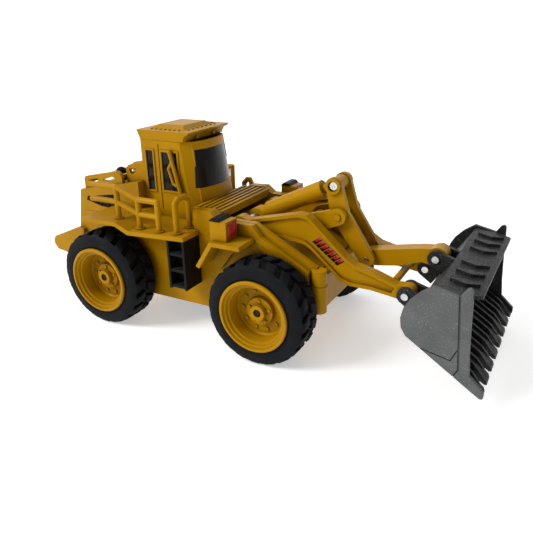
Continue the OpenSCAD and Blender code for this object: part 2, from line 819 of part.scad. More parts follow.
// Intermediate gear: a pinion driven by the axle gear and a wheel that drives the flywheel
module cluster_gear() {
  color("white") placed() {
    gear(cluster_at, pinion_teeth, 22.5, 5, 9, gear_shaft_r);
    gear(cluster_at, wheel_teeth, 0, 0, 4, gear_shaft_r);
    translate([cluster_at[0], 0, cluster_at[1]]) slab(4, 5) difference() {
      circle(r = 1.9);
      circle(r = gear_shaft_r);
    }
    pin_y(cluster_at, gear_shaft_r, -motor_y - 1.2, motor_y + 1.2);
  }
}

// Steel flywheel with its pinion
module flywheel() {
  color("silver") placed() {
    gear(flywheel_at, pinion_teeth, 22.5, 0, 3.6, gear_shaft_r);
    translate([flywheel_at[0], 0, flywheel_at[1]]) slab(-9, -3) difference() {
      circle(r = 8.5);
      circle(r = gear_shaft_r);
    }
    translate([flywheel_at[0], 0, flywheel_at[1]]) slab(-3, 0) difference() {
      circle(r = 2.1);
      circle(r = gear_shaft_r);
    }
    pin_y(flywheel_at, gear_shaft_r, -motor_y - 1.2, motor_y + 1.2);
  }
}

// Gear pressed on the rear axle
module drive_gear() {
  color("white") placed() gear([rear_x, axle_z], wheel_teeth, 0, 5, 9, axle_r);
}

// ---------- wheels ----------

hub_in_y = side_y + 0.6;
dish_y = rim_y - 11;
collar_y = rim_y - 5.7;

// Axle rod with ends inside the hub collars
module axle_rod(x) {
  color("silver") placed() pin_y([x, axle_z], axle_r, -collar_y + 2.2, collar_y - 2.2);
}
module front_axle() { axle_rod(0); }
module rear_axle() { axle_rod(rear_x); }

// Spins a half section, drawn as [radius, distance from centre plane], about the axle
module spun(x, side) {
  translate([x, 0, axle_z]) rotate([side < 0 ? 90 : -90, 0, 0]) rotate_extrude($fn = 96) children();
}

bead_r = rim_r - 1.4;

// Deep-dish rim with a stepped lip, bolt ring, hub flange and collar
module rim(x, side) {
  color("gold") placed() {
    spun(x, side) polygon([
      [axle_r, hub_in_y], [5, hub_in_y], [5, dish_y - 2.4], [bead_r - 2.2, dish_y - 2.4],
      [bead_r - 2.2, rim_y - tyre_w], [bead_r, rim_y - tyre_w], [bead_r, rim_y - 1.6], [rim_r, rim_y - 1.6],
      [rim_r, rim_y - 0.5], [rim_r - 0.5, rim_y], [rim_r - 1.7, rim_y], [rim_r - 2, rim_y - 1.3],
      [rim_r - 3.2, rim_y - 1.5], [rim_r - 3.5, rim_y - 3], [rim_r - 4.5, rim_y - 3.3],
      [rim_r - 5.4, dish_y + 1], [rim_r - 6.4, dish_y], [8, dish_y], [7.6, dish_y + 2.4],
      [4.5, dish_y + 2.4], [4.2, collar_y], [2.2, collar_y], [2.2, collar_y - 2.2], [axle_r, collar_y - 2.2]
    ]);
    translate([x, 0, axle_z]) rotate([side < 0 ? 90 : -90, 0, 0]) {
      for (i = [0 : 9]) rotate(i * 36) translate([11, 0, dish_y - 0.3]) cylinder(r = 0.9, h = 1.1, $fn = 24);
      for (i = [0 : 4]) rotate(18 + i * 72) translate([6.1, 0, dish_y + 2.1]) cylinder(r = 0.9, h = 1.1, $fn = 24);
    }
  }
}
module front_rim_right() { rim(0, -1); }
module front_rim_left() { rim(0, 1); }
module rear_rim_right() { rim(rear_x, -1); }
module rear_rim_left() { rim(rear_x, 1); }

lug_count = 20;
lug_depth = 2.2;

// Hollow rubber tyre with a ring of shoulder notches on each edge
module tyre(x, side) {
  color([0.16, 0.17, 0.18]) placed() difference() {
    spun(x, side) polygon([
      [bead_r, rim_y - 18.9], [bead_r + 4, rim_y - tyre_w - 1], [tyre_r - 3.4, rim_y - tyre_w - 0.6],
      [tyre_r - 0.9, rim_y - tyre_w + 1.2], [tyre_r, rim_y - tyre_w + 3.4], [tyre_r, rim_y - 5.4],
      [tyre_r - 0.9, rim_y - 3.2], [tyre_r - 3.4, rim_y - 1.4], [bead_r + 4, rim_y - 0.9],
      [rim_r + 0.6, rim_y - 1.6], [bead_r, rim_y - 1.6], [bead_r, rim_y - 4.5], [tyre_r - 6.5, rim_y - 5],
      [tyre_r - 5, rim_y - 7], [tyre_r - 5, rim_y - tyre_w + 5], [tyre_r - 6.5, rim_y - tyre_w + 3],
      [bead_r, rim_y - tyre_w + 3]
    ]);
    translate([x, 0, axle_z]) rotate([side < 0 ? 90 : -90, 0, 0]) for (i = [0 : lug_count - 1]) {
      rotate((i + 0.5) * 360 / lug_count) translate([tyre_r - lug_depth, -1.4, rim_y - 9])
        cube([lug_depth + 1, 2.8, 10]);
      rotate(i * 360 / lug_count + 4.5) translate([tyre_r - lug_depth, -1.4, rim_y - tyre_w - 2])
        cube([lug_depth + 1, 2.8, 10]);
    }
  }
}
module front_tyre_right() { tyre(0, -1); }
module front_tyre_left() { tyre(0, 1); }
module rear_tyre_right() { tyre(rear_x, -1); }
module rear_tyre_left() { tyre(rear_x, 1); }

// ---------- lift arms and linkage ----------

arm_y = arm_span / 2;
arm_in_y = arm_y - arm_t / 2;
arm_out_y = arm_y + arm_t / 2;
flange_t = 1.9;
pocket_depth = 1.7;

// Matching points along the top and bottom edges of an arm, from boss to boss
arm_top = [
  lift_pivot + [0, 4.9], [-21, 6.1], [9, 13.5], [14, 13], [17, 11], [36, -6.3], [42, -10.1], [52, -12.5],
  [64, -16.6], bucket_pivot + [0.8, 4.1]
];
arm_bottom = [
  lift_pivot + [0, -4.9], [-21, -1.6], [9, -2.2], [13.5, -3], [17.5, -5.4], [34, -20], [39.5, -21.7],
  [51, -21.8], [61, -23], bucket_pivot + [-0.4, -4.1]
];

// Closed outline between the two edges, moved in by a flange thickness
function edge_points(inset, first, last) = concat(
  [for (i = [first : last]) arm_top[i] + inset * (arm_bottom[i] - arm_top[i]) / norm(arm_bottom[i] - arm_top[i])],
  [for (i = [last : -1 : first]) arm_bottom[i] + inset * (arm_top[i] - arm_bottom[i]) / norm(arm_bottom[i] - arm_top[i])]
);

// Cranked lift arm with a round boss at each end and a pocket in each side
module lift_arm(side) {
  color("gold") placed() on_side(side) difference() {
    union() {
      slab(-arm_out_y, -arm_in_y) polygon(edge_points(0, 0, 9));
      pin_y(lift_pivot, 5, -arm_out_y, -arm_in_y);
      pin_y(bucket_pivot, 4.2, -arm_out_y, -arm_in_y);
    }
    for (y = [-arm_out_y - 1, -arm_in_y - pocket_depth])
      slab(y, y + pocket_depth + 1) polygon(edge_points(flange_t, 1, 8));
    pin_y(lift_pivot, pin_r + 0.5 + run_gap, -30, 0);
    pin_y(bucket_pivot, pin_r + run_gap, -30, 0);
  }
}
module lift_arm_right() { lift_arm(-1); }
module lift_arm_left() { lift_arm(1); }

brace_at = [9.5, 4.5];
front_tube_at = [61.6, -17.2];

// Two round tubes that tie the arms together
module arm_cross_tubes() {
  color("gold") placed() {
    pin_y(brace_at, 3.4, -arm_in_y, arm_in_y);
    pin_y(front_tube_at, 1.9, -arm_in_y, arm_in_y);
  }
}

crank_out_y = 8;
crank_in_y = 5.2;
ear_in_y = 8.4;
ear_out_y = 11.6;

// Pair of ears on the brace tube that hold the bellcrank
module crank_bracket() {
  color("gold") placed() for (side = [-1, 1]) on_side(side) difference() {
    bar_y(crank_pivot, brace_at, 4.5, 5.6, -ear_out_y, -ear_in_y);
    pin_y(crank_pivot, pin_r, -20, 0);
    pin_y(brace_at, 3.4, -20, 0);
  }
}

// Pin through the ears and the bellcrank
module crank_pin() {
  color("goldenrod") placed() {
    pin_y(crank_pivot, pin_r, -ear_out_y, ear_out_y);
    for (side = [-1, 1]) on_side(side)
      pin_y(crank_pivot, pin_r + 0.4, -ear_out_y - 0.8, -ear_out_y);
  }
}

screw_r = 1.5;

// Channel-shaped bellcrank: two plates joined by a web on the rear side
module bellcrank() {
  color("gold") placed() difference() {
    union() {
      for (side = [-1, 1]) on_side(side) {
        bar_y(crank_top, crank_pivot, 4.6, 5.2, -crank_out_y, -crank_in_y);
        bar_y(crank_foot, crank_pivot, 4.2, 5.2, -crank_out_y, -crank_in_y);
        pin_y(crank_top, 4.3, -crank_out_y - 1.4, -crank_out_y + 0.5);
      }
      slab(-crank_in_y, crank_in_y) polygon([
        crank_pivot + [-4.4, 3.6], crank_pivot + [-5, -1.6], crank_foot + [-8.2, 6.2], crank_foot + [-6, 7.6],
        crank_pivot + [-2.8, -1.2], crank_pivot + [-2.4, 3.6]
      ]);
    }
    pin_y(crank_top, screw_r, -20, 20);
    pin_y(crank_top, 2.7, -crank_out_y - 3, -crank_out_y + 1);
    pin_y(crank_pivot, pin_r + run_gap, -20, 20);
    pin_y(crank_foot, pin_r - 0.3, -20, 20);
  }
}

// Screw at the top of the bellcrank and the pin at its foot
module rod_screw() {
  color("silver") placed() {
    pin_y(crank_top, screw_r, -crank_out_y + 0.2, crank_out_y);
    difference() {
      pin_y(crank_top, 2.2, -crank_out_y, -crank_out_y + 1);
      for (turn = [20, 110])
        translate([crank_top[0], -crank_out_y, crank_top[1]]) rotate([0, turn, 0])
          cube([3, 1, 0.6], center = true);
    }
    pin_y(crank_foot, pin_r - 0.3, -crank_out_y - 0.4, crank_out_y + 0.4);
  }
}

cylinder_angle = atan2(crank_top[1] - lift_pivot[1], crank_top[0] - lift_pivot[0]);
cylinder_length = norm(crank_top - lift_pivot);
barrel_r = 5;
barrel_end = cylinder_length - 9.5;
rod_r = 2.4;

// Puts shapes drawn along X onto the cylinder's axis
module along_cylinder() {
  translate([lift_pivot[0], 0, lift_pivot[1]])
    rotate([0, -cylinder_angle, 0])
      children();
}

// Tilt cylinder barrel, hinged on the arm pivot shaft and bored for the rod
module tilt_cylinder() {
  color("gold") placed() along_cylinder() difference() {
    union() {
      rotate([90, 0, 0]) translate([0, 0, -4]) cylinder(r = 4.6, h = 8);
      translate([2, 0, 0]) rotate([0, 90, 0]) cylinder(r = 4, h = 8);
      translate([8, 0, 0]) rotate([0, 90, 0]) cylinder(r = barrel_r, h = barrel_end - 8);
    }
    rotate([90, 0, 0]) translate([0, 0, -9]) cylinder(r = pin_r + 0.5 + run_gap, h = 18);
    translate([16, 0, 0]) rotate([0, 90, 0]) cylinder(r = rod_r + run_gap, h = barrel_end);
  }
}

// Piston rod with an eye that takes the bellcrank screw with some slack
module cylinder_rod() {
  color("silver") placed() along_cylinder() difference() {
    union() {
      translate([26, 0, 0]) rotate([0, 90, 0]) cylinder(r = rod_r, h = cylinder_length - 29);
      translate([cylinder_length, 0, 0]) rotate([90, 0, 0]) translate([0, 0, -4]) cylinder(r = 3.9, h = 8);
    }
    translate([cylinder_length, 0, 0]) rotate([90, 0, 0]) translate([0, 0, -9])
      cylinder(r = screw_r + 0.6, h = 18);
  }
}

// Curved link from the bellcrank foot to the top of the bucket
module bucket_link() {
  color("gold") placed() difference() {
    union() {
      pin_y(crank_foot, 4.3, -4.2, 4.2);
      pin_y(link_pivot, 5.2, -4.2, 4.2);
      slab(-4.2, 4.2) polygon([
        crank_foot + [0.3, 4.2], crank_foot + [14, 6.8], crank_foot + [27, 9.4], link_pivot + [-3.2, 4],
        link_pivot + [1, -5], link_pivot + [-8, -3.9], crank_foot + [17, -1.9], crank_foot + [5, -3.9],
        crank_foot + [0.3, -4.2]
      ]);
    }
    pin_y(crank_foot, pin_r + 1.4, -9, 9);
    pin_y(link_pivot, pin_r + run_gap, -9, 9);
  }
}

// ---------- bucket ----------

// Puts shapes drawn in the bucket's level frame into place, tipped forward about the lower pin
module on_bucket() {
  translate([bucket_pivot[0], 0, bucket_pivot[1]])
    rotate([0, bucket_rest_tilt, 0])
      children();
}

bucket_in_y = bucket_w / 2 - bucket_side_t;
heel_r = 11;

// Curved section of the shell: back wall, round heel and floor
module shell_section() {
  centre = [bucket_back_x + heel_r, bucket_floor_z + heel_r];
  difference() {
    union() {
      translate([bucket_back_x, centre[1]]) square([shell_t, bucket_top_z - centre[1]]);
      translate([centre[0], bucket_floor_z]) square([bucket_lip_x - centre[0], shell_t]);
      intersection() {
        translate(centre) circle(r = heel_r, $fn = 72);
        translate([bucket_back_x, bucket_floor_z]) square([heel_r, heel_r]);
      }
    }
    translate(centre) circle(r = heel_r - shell_t, $fn = 72);
  }
}

// Outline of a bucket side plate with the cutter strip that stands up along its front edge
module side_section() {
  polygon([
    [1.4, 12], [1.8, 7.5], [3.8, 2.5], [7, -1.2], [11, bucket_floor_z],
    [bucket_tip_x - 1.2, bucket_floor_z], [bucket_tip_x, -1.6],
    [bucket_tip_x - 1.6, 0.8], [43.4, 2.4], [37.4, 9.6], [31.2, 17.8], [19.2, 34.2],
    [18.2, 35.4], [16.8, 35.4], [15.9, 34.2], [15.9, 29.6],
    [5.1, bucket_top_z + 1.5], [2.5, 18.8]
  ]);
}

// Straight scored line on the outer face of a side plate between two [x, z] points
module score(p, q, width) {
  slab(-bucket_w / 2 - 1, -bucket_w / 2 + 0.45)
    translate(p) rotate(atan2(q[1] - p[1], q[0] - p[0]))
      translate([0, -width / 2]) square([norm(q - p), width]);
}

// Groove behind the cutter strip and the joints of the wear plate
module side_scores() {
  score([14.8, 31.2], [38.3, 1.2], 0.9);
  score([38, 1.6], [38.6, -4], 0.6);
  score([31.3, 10.4], [32.7, 2.5], 0.5);
  score([32.9, 2.6], [19.5, -2.8], 0.5);
}

tooth_w = 7.6;
tooth_pitch = (bucket_w - tooth_w) / (tooth_count - 1);
tooth_root_x = 24;

// One tooth that grows out of the floor, with a raised rib along each edge
module tooth(y) {
  intersection() {
    translate([tooth_root_x, y - tooth_w / 2, bucket_floor_z]) cube([40, tooth_w, 10]);
    slab(y - tooth_w, y + tooth_w) polygon([
      [tooth_root_x, bucket_floor_z], [bucket_tip_x - 1, bucket_floor_z], [bucket_tip_x, bucket_floor_z + 0.8],
      [bucket_tip_x - 1.4, bucket_floor_z + 2], [bucket_lip_x, bucket_floor_z + 3.4],
      [tooth_root_x + 2, bucket_floor_z + 3.4]
    ]);
  }
  for (edge = [-1, 1])
    slab(y + edge * (tooth_w / 2 - 0.8) - 0.8, y + edge * (tooth_w / 2 - 0.8) + 0.8) polygon([
      [tooth_root_x - 4, bucket_floor_z + 1], [bucket_tip_x - 4, bucket_floor_z + 1],
      [bucket_tip_x - 4.5, bucket_floor_z + 2.8], [bucket_lip_x - 2, bucket_floor_z + 4.8],
      [tooth_root_x - 2, bucket_floor_z + 4.8]
    ]);
}

lug_gap = 0.4;
lug_t = 2.6;
link_lug_in_y = 4.2 + lug_gap;

// Bucket casting: curved shell, side plates, teeth and hinge lugs
module bucket() {
  color([0.35, 0.35, 0.36]) placed() difference() {
    on_bucket() union() {
      slab(-bucket_in_y, bucket_in_y) shell_section();
      for (side = [-1, 1]) on_side(side) {
        slab(-bucket_w / 2, -bucket_in_y) side_section();
        bucket_lug([0, 0], -arm_out_y - lug_gap - lug_t);
        bucket_lug([0, 0], -arm_in_y + lug_gap);
        bucket_lug(link_local, -link_lug_in_y - lug_t);
      }
      for (i = [0 : tooth_count - 1]) tooth(-bucket_w / 2 + tooth_w / 2 + i * tooth_pitch);
    }
    on_bucket() for (side = [-1, 1]) on_side(side) side_scores();
    pin_y(bucket_pivot, pin_r, -bucket_w / 2 + bucket_side_t, bucket_w / 2 - bucket_side_t);
    pin_y(link_pivot, pin_r, -bucket_w / 2 + bucket_side_t, bucket_w / 2 - bucket_side_t);
  }
}

// Upper pin position in the bucket's level frame
link_offset = link_pivot - bucket_pivot;
link_local = [
  link_offset[0] * cos(bucket_rest_tilt) - link_offset[1] * sin(bucket_rest_tilt),
  link_offset[0] * sin(bucket_rest_tilt) + link_offset[1] * cos(bucket_rest_tilt)
];

// Hinge lug that runs from a pin to the bucket back
module bucket_lug(at, y_low) {
  pin_y(at, 4.3, y_low, y_low + lug_t);
  slab(y_low, y_low + lug_t) polygon([
    at + [0, 4.25], [bucket_back_x + 1, at[1] + 6.5], [bucket_back_x + 1, at[1] - 4.4], at + [0, -4.25]
  ]);
}

guard_start = [6.4, bucket_top_z + 0.6];
guard_rise = 28;
guard_run = 19.5;
guard_t = 1.9;

// Spill guard that slopes up from the shell's top edge, with six raised lozenge ribs
module spill_guard() {
  color([0.35, 0.35, 0.36]) placed() on_bucket() difference() {
    union() {
      slab(-bucket_in_y, bucket_in_y) polygon([
        [bucket_back_x, bucket_top_z], guard_start, guard_start + polar(guard_run, guard_rise),
        guard_start + polar(guard_run, guard_rise) + polar(guard_t, guard_rise - 90),
        [bucket_back_x + shell_t + 0.7, bucket_top_z + 0.2], [bucket_back_x + shell_t, bucket_top_z]
      ]);
      for (side = [-1, 1], i = [0 : 2])
        translate([guard_start[0], side * (10.5 + i * 12), guard_start[1]]) rotate([0, -guard_rise, 0])
          translate([0, 0, -0.3]) linear_extrude(height = 1.9)
            polygon([[3.2, 0], [10, 2.6], [16.6, 0.6], [10.6, -2.6]]);
    }
    for (side = [-1, 1]) on_side(side)
      linear_extrude(height = 60) polygon([
        [16.4, -bucket_in_y - 1], [30, -bucket_in_y - 1], [30, -39], [24.6, -bucket_in_y + 4.4],
        [20.3, -bucket_in_y + 2.1], [16.4, -bucket_in_y]
      ]);
  }
}

// Steel pins of the bucket hinges with domed heads
module bucket_pins() {
  color("silver") placed() {
    for (side = [-1, 1]) on_side(side) {
      pin_y(bucket_pivot, pin_r, -arm_out_y - lug_gap - lug_t, -arm_in_y + lug_gap + lug_t);
      pin_y(bucket_pivot, pin_r + 0.35, -arm_out_y - lug_gap - lug_t - 0.9, -arm_out_y - lug_gap - lug_t);
      pin_y(bucket_pivot, pin_r + 0.35, -arm_in_y + lug_gap + lug_t, -arm_in_y + lug_gap + lug_t + 0.9);
    }
    pin_y(link_pivot, pin_r, -link_lug_in_y - lug_t, link_lug_in_y + lug_t);
    pin_y(link_pivot, pin_r + 0.35, -link_lug_in_y - lug_t - 0.9, -link_lug_in_y - lug_t);
    pin_y(link_pivot, pin_r + 0.35, link_lug_in_y + lug_t, link_lug_in_y + lug_t + 0.9);
  }
}

// ---------- output ----------

chassis_pan();
base_plate();
case_screws();
front_frame();
arm_pivot_shaft();
deck();
walkway_cover();
front_fender_right();
front_fender_left();
engine_hood();
hood_guard();
intake_shield();
air_cleaner();
side_vents();
rear_grille();
rear_bumper();
cab_shell();
cab_roof();
windshield();
cab_windows();
grab_handles();
handrail_right();
handrail_left();
front_rail_right();
front_rail_left();
ladder_right();
ladder_left();
headlight_housing_right();
headlight_housing_left();
headlight_cap_right();
headlight_cap_left();
headlight_lens_right();
headlight_lens_left();
motor_frame();
cluster_gear();
flywheel();
front_axle();
front_rim_right();
front_rim_left();
front_tyre_right();
front_tyre_left();
rear_axle();
drive_gear();
rear_rim_right();
rear_rim_left();
rear_tyre_right();
rear_tyre_left();
lift_arm_right();
lift_arm_left();
arm_cross_tubes();
crank_bracket();
crank_pin();
bellcrank();
rod_screw();
tilt_cylinder();
cylinder_rod();
bucket_link();
bucket();
spill_guard();
bucket_pins();
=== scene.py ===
# %% [markdown]
# # A toy wheel loader
#
# The toy is moulded in satin yellow plastic, with a speckled gunmetal bucket, bright steel
# pins and four rubber tyres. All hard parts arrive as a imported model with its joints.
# This lesson gives each of them a finish, rounds the moulded edges, builds the tyres'
# tread and the small trim, and lights the toy on a pale floor.

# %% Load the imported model
import bpy
import bmesh
import json
from math import atan2, cos, pi, radians, sin
from mathutils import Matrix, Vector


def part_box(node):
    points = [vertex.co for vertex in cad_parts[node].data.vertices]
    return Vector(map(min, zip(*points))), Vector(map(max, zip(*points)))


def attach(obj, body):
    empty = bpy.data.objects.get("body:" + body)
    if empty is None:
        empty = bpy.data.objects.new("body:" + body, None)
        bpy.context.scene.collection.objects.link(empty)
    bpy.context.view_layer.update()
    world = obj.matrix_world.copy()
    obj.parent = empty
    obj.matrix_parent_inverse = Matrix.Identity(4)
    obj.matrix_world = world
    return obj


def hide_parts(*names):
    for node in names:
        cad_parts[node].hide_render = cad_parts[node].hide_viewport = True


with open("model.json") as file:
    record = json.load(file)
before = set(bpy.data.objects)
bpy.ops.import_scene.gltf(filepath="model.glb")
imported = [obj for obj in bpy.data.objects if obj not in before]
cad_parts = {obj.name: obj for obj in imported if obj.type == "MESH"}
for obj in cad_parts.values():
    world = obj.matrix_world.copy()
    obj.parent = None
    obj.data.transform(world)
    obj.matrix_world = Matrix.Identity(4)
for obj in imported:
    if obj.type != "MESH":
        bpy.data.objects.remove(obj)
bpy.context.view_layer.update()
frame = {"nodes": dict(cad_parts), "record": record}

MM = 0.001
SIDES = (("right", -1), ("left", 1))  # each side's name, and its sign along Y
nodes = frame["nodes"]
slot_of = {part["node"]: part["material_slot"] for part in frame["record"]["subparts"]}
body_of = {}
for body_name, members in frame["record"]["behaviour"]["bodies"].items():
    for member in members:
        body_of[member] = body_name

# %% [markdown]
# ## Finishes
#
# A finish could be a single colour, but a moulded toy never looks like that. Its colour
# drifts a little over a part, its gloss changes where hands have polished it, and its
# surface has a very fine grain. Every finish below is built from noise on Object
# coordinates, which are metres here, so a scale of 400 gives a pattern of 2.5 mm.

# %% Start a finish and add nodes to it
def new_finish(name):
    finish = bpy.data.materials.new(name)
    finish.use_nodes = True
    tree = finish.node_tree
    shader = tree.nodes["Principled BSDF"]
    return finish, tree, shader


def add_node(tree, kind, **values):
    node = tree.nodes.new(kind)
    for key, value in values.items():
        setattr(node, key, value)
    return node


def object_noise(tree, scale, detail=3.0, roughness=0.5, stretch=None):
    """Noise fixed to the part; stretch squeezes it along each axis."""
    coords = add_node(tree, "ShaderNodeTexCoord")
    source = coords.outputs["Object"]
    if stretch:
        mapping = add_node(tree, "ShaderNodeMapping")
        mapping.inputs["Scale"].default_value = stretch
        tree.links.new(source, mapping.inputs["Vector"])
        source = mapping.outputs["Vector"]
    noise = add_node(tree, "ShaderNodeTexNoise")
    noise.inputs["Scale"].default_value = scale
    noise.inputs["Detail"].default_value = detail
    noise.inputs["Roughness"].default_value = roughness
    tree.links.new(source, noise.inputs["Vector"])
    return noise.outputs["Fac"]


finishes = {}
print("finish helpers: 3")

# %% [markdown]
# ### Turning noise into colour and gloss
#
# Noise gathers round the middle of its range, so a ramp that only used the ends would
# look flat. The two tones are set near 0.3 and 0.7, where most of the noise lies, and
# the gloss is stretched over the same part of the range.

# %% Tones, ranges and products
def two_tones(tree, factor, dark, light, dark_at=0.3, light_at=0.72):
    node = add_node(tree, "ShaderNodeValToRGB")
    stops = ((dark_at, dark), (light_at, light))
    for element, (place, colour) in zip(node.color_ramp.elements, stops):
        element.position = place
        element.color = (*colour, 1.0)
    tree.links.new(factor, node.inputs["Fac"])
    return node.outputs["Color"]


def remap(tree, factor, low, high, out_low, out_high):
    node = add_node(tree, "ShaderNodeMapRange")
    node.inputs["From Min"].default_value = low
    node.inputs["From Max"].default_value = high
    node.inputs["To Min"].default_value = out_low
    node.inputs["To Max"].default_value = out_high
    tree.links.new(factor, node.inputs["Value"])
    return node.outputs["Result"]


def multiply(tree, colour, shade):
    node = add_node(tree, "ShaderNodeMix", data_type="RGBA", blend_type="MULTIPLY")
    node.inputs["Factor"].default_value = 1.0
    tree.links.new(colour, node.inputs["A"])
    tree.links.new(shade, node.inputs["B"])
    return node.outputs["Result"]


def vary_gloss(tree, shader, factor, smooth, rough, low=0.3, high=0.7):
    """Lets the roughness run from smooth to rough as the noise runs from low to high."""
    tree.links.new(remap(tree, factor, low, high, smooth, rough), shader.inputs["Roughness"])


print("tones, ranges and products: 4 helpers")

# %% [markdown]
# ### Corners and grain
#
# On a real toy no edge is perfectly sharp. The corners are darkened with painted shade,
# scaled by how much of the sky a point can see. The edges are rounded in the shading,
# which leaves the imported meshes as they are.

# %% Corner shade and surface grain
def painted_crevice_shade(tree, distance, depth):
    """Painted shade: a grey that falls from white to depth in corners and joints."""
    occlusion = add_node(tree, "ShaderNodeAmbientOcclusion", samples=6)
    occlusion.inputs["Distance"].default_value = distance
    return two_tones(tree, occlusion.outputs["AO"], (depth,) * 3, (1.0, 1.0, 1.0), 0.2, 0.85)


def surface_grain(tree, shader, factor, height, edge_radius=0.0):
    """Adds a fine relief, on top of a softened edge where edge_radius is given."""
    bump = add_node(tree, "ShaderNodeBump")
    bump.inputs["Distance"].default_value = height
    bump.inputs["Strength"].default_value = 1.0
    tree.links.new(factor, bump.inputs["Height"])
    if edge_radius:
        soft = add_node(tree, "ShaderNodeBevel", samples=4)
        soft.inputs["Radius"].default_value = edge_radius
        tree.links.new(soft.outputs["Normal"], bump.inputs["Normal"])
    tree.links.new(bump.outputs["Normal"], shader.inputs["Normal"])


print("corner shade and grain: 2 helpers")

# %% [markdown]
# ### Yellow plastic
#
# The body is solid-coloured ABS straight from the mould. The colour is a warm ochre
# yellow, darkened in the corners by painted shade, with a satin gloss that varies over a
# few millimetres and a faint orange-peel grain. A white highlight would turn it chalky, so
# the highlight is kept weak and warm.

# %% Yellow plastic
YELLOW_DEEP = (0.32, 0.154, 0.0005)
YELLOW_PALE = (0.40, 0.200, 0.0010)
WARM_HIGHLIGHT = (1.0, 0.74, 0.20, 1.0)


def yellow_plastic():
    finish, tree, shader = new_finish("moulded_yellow")
    tone = two_tones(tree, object_noise(tree, 34, detail=4), YELLOW_DEEP, YELLOW_PALE)
    # painted shade: corners and joints are darkened by ambient occlusion
    shaded = multiply(tree, tone, painted_crevice_shade(tree, distance=7 * MM, depth=0.34))
    tree.links.new(shaded, shader.inputs["Base Color"])
    gloss = object_noise(tree, 260, detail=5, roughness=0.6)
    vary_gloss(tree, shader, gloss, smooth=0.34, rough=0.46)
    orange_peel = object_noise(tree, 1500, detail=2)
    surface_grain(tree, shader, orange_peel, height=0.03 * MM, edge_radius=0.4 * MM)
    shader.inputs["Specular IOR Level"].default_value = 0.16
    shader.inputs["Specular Tint"].default_value = WARM_HIGHLIGHT
    return finish


finishes["body_yellow"] = yellow_plastic()
print("yellow nodes:", len(finishes["body_yellow"].node_tree.nodes))

# %% [markdown]
# ### Plain plastics
#
# Black ladders, visors and grilles are matte with a light scuff, the grey parts are
# mostly hidden, and the white ones are small. They differ only in tone and gloss, so one
# helper makes them all.

# %% Plain plastics
BLACK_TONES = ((0.0035, 0.0034, 0.0028), (0.0085, 0.0083, 0.0070))
GREY_TONES = ((0.012, 0.012, 0.012), (0.022, 0.022, 0.022))
WHITE_TONES = ((0.62, 0.61, 0.57), (0.72, 0.71, 0.67))


def plain_plastic(name, tones, smooth, rough, shine=0.1):
    finish, tree, shader = new_finish(name)
    drift = object_noise(tree, 120, detail=5, roughness=0.62)
    tone = two_tones(tree, drift, *tones, dark_at=0.32, light_at=0.7)
    # painted shade: corners and joints are darkened by ambient occlusion
    shaded = multiply(tree, tone, painted_crevice_shade(tree, distance=4 * MM, depth=0.55))
    tree.links.new(shaded, shader.inputs["Base Color"])
    vary_gloss(tree, shader, object_noise(tree, 420, detail=4), smooth, rough)
    grain = object_noise(tree, 1800, detail=2)
    surface_grain(tree, shader, grain, height=0.02 * MM, edge_radius=0.3 * MM)
    shader.inputs["Specular IOR Level"].default_value = shine
    return finish


finishes["grey_plastic"] = plain_plastic("grey_plastic", GREY_TONES, 0.45, 0.60)
finishes["black_plastic"] = plain_plastic("black_plastic", BLACK_TONES, 0.36, 0.50)
finishes["white_plastic"] = plain_plastic("white_plastic", WHITE_TONES, 0.34, 0.48, shine=0.4)
print("plain plastics: 3")

# %% [markdown]
# ### Glazing and lamps
#
# The cab's windows are not clear. They are glossy, almost black panels, so they need no
# glass shader, only a smooth dark surface with faint smears. The lamps are moulded in
# deep red, with a clear coat that gives a sharper highlight over the colour.

# %% Glazing and lamps
GLAZING_TONES = ((0.004, 0.004, 0.003), (0.008, 0.008, 0.006))
RED_TONES = ((0.30, 0.004, 0.004), (0.44, 0.008, 0.007))


def tinted_panel():
    finish, tree, shader = new_finish("tinted_glazing")
    tone = two_tones(tree, object_noise(tree, 60, detail=3), *GLAZING_TONES, light_at=0.75)
    tree.links.new(tone, shader.inputs["Base Color"])
    smear = object_noise(tree, 180, detail=6, roughness=0.65)
    vary_gloss(tree, shader, smear, smooth=0.10, rough=0.24, low=0.35, high=0.75)
    shader.inputs["Specular IOR Level"].default_value = 0.15
    return finish


def red_panel():
    finish, tree, shader = new_finish("red_lens")
    tone = two_tones(tree, object_noise(tree, 300, detail=3), *RED_TONES, light_at=0.75)
    tree.links.new(tone, shader.inputs["Base Color"])
    vary_gloss(tree, shader, object_noise(tree, 500, detail=3), smooth=0.16, rough=0.28)
    ripple = object_noise(tree, 900, detail=1)
    surface_grain(tree, shader, ripple, height=0.04 * MM, edge_radius=0.3 * MM)
    shader.inputs["Coat Weight"].default_value = 0.5
    shader.inputs["Coat Roughness"].default_value = 0.1
    return finish


finishes["tinted_plastic"] = tinted_panel()
finishes["red_plastic"] = red_panel()
print("glazing and lamps: 2")

# %% [markdown]
# ### Tyre rubber
#
# The tyres are soft matte rubber. Dust turns them a patchy grey, the grooves are
# darkened with painted shade, and the skin has a slight leathery grain.

# %% Tyre rubber
RUBBER_TONES = ((0.0040, 0.0045, 0.0056), (0.0085, 0.0092, 0.0108))


def tyre_rubber():
    finish, tree, shader = new_finish("tyre_rubber")
    dust = object_noise(tree, 90, detail=6, roughness=0.62)
    tone = two_tones(tree, dust, *RUBBER_TONES, light_at=0.75)
    # painted shade: the grooves and corners are darkened by ambient occlusion
    shaded = multiply(tree, tone, painted_crevice_shade(tree, distance=3 * MM, depth=0.25))
    tree.links.new(shaded, shader.inputs["Base Color"])
    vary_gloss(tree, shader, object_noise(tree, 350, detail=4), smooth=0.52, rough=0.70)
    leather = object_noise(tree, 1300, detail=4, roughness=0.6)
    surface_grain(tree, shader, leather, height=0.05 * MM)
    shader.inputs["Specular IOR Level"].default_value = 0.08
    return finish


finishes["tyre_rubber"] = tyre_rubber()
print("rubber nodes:", len(finishes["tyre_rubber"].node_tree.nodes))

